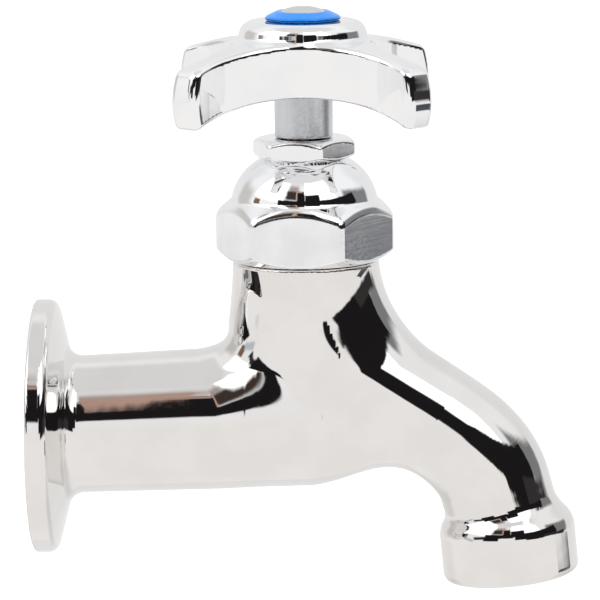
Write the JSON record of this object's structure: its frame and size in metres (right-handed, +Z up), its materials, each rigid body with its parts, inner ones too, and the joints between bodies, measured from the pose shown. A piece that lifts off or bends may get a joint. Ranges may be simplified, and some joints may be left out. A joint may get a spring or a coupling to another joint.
{
  "type": "hose bib",
  "caption": "Chrome wall-mounted hose bib: flanged female inlet, hexagon bonnet, four-arm handle on a rising spindle and a bent spout that ends in a smooth collar with its thread inside.",
  "frame": {"origin": "centre of the flange's back face, on the inlet axis", "axes": "+X away from the wall towards the spout, +Z up along the spindle, Y across; the body is symmetric about Y = 0"},
  "size_m": [0.1212, 0.0574, 0.1291],
  "materials": {
    "body_chrome": "polished nickel-chrome plate on a brass casting",
    "trim_chrome": "polished chrome plate on turned brass",
    "handle_chrome": "polished chrome plate on a cast handle, satin on its sleeve",
    "plain_brass": "turned brass",
    "stainless": "plain stainless steel",
    "black_rubber": "moulded rubber",
    "fibre_gasket": "pressed fibre",
    "graphite_packing": "graphited packing",
    "blue_plastic": "glossy moulded plastic",
    "silver_cap": "satin metallized cap",
    "white_plastic": "moulded acetal"
  },
  "bodies": {
    "faucet": {"valve_body": "body_chrome", "valve_seat": "plain_brass", "bonnet": "trim_chrome", "bonnet_gasket": "fibre_gasket", "packing_washer": "plain_brass", "stem_packing": "graphite_packing", "packing_gland": "plain_brass", "packing_nut": "trim_chrome", "outlet_gasket": "black_rubber", "flow_straightener": "white_plastic", "outlet_screen": "stainless", "snap_ring": "stainless"},
    "washer_lift": {"washer_holder": "plain_brass", "holder_clip": "stainless", "seat_washer": "black_rubber", "washer_screw": "plain_brass"},
    "spindle_turn": {"spindle": "plain_brass", "handle": "handle_chrome", "handle_screw": "stainless", "lock_washer": "stainless", "index_ring": "blue_plastic", "index_disc": "silver_cap"}
  },
  "joints": [
    {"name": "washer_rise", "type": "slide", "parent": "faucet", "child": "washer_lift", "axis": [0, 0, 1], "range_m": [0, 0.0062]},
    {"name": "handle_turn", "type": "hinge", "parent": "washer_lift", "child": "spindle_turn", "pos_m": [0.0606, 0, 0], "axis": [0, 0, 1], "range_deg": [0, 700]}
  ],
  "couplings": [
    {"joint": "washer_rise", "follows": "handle_turn", "m_per_rad": 0.00050532}
  ]
}
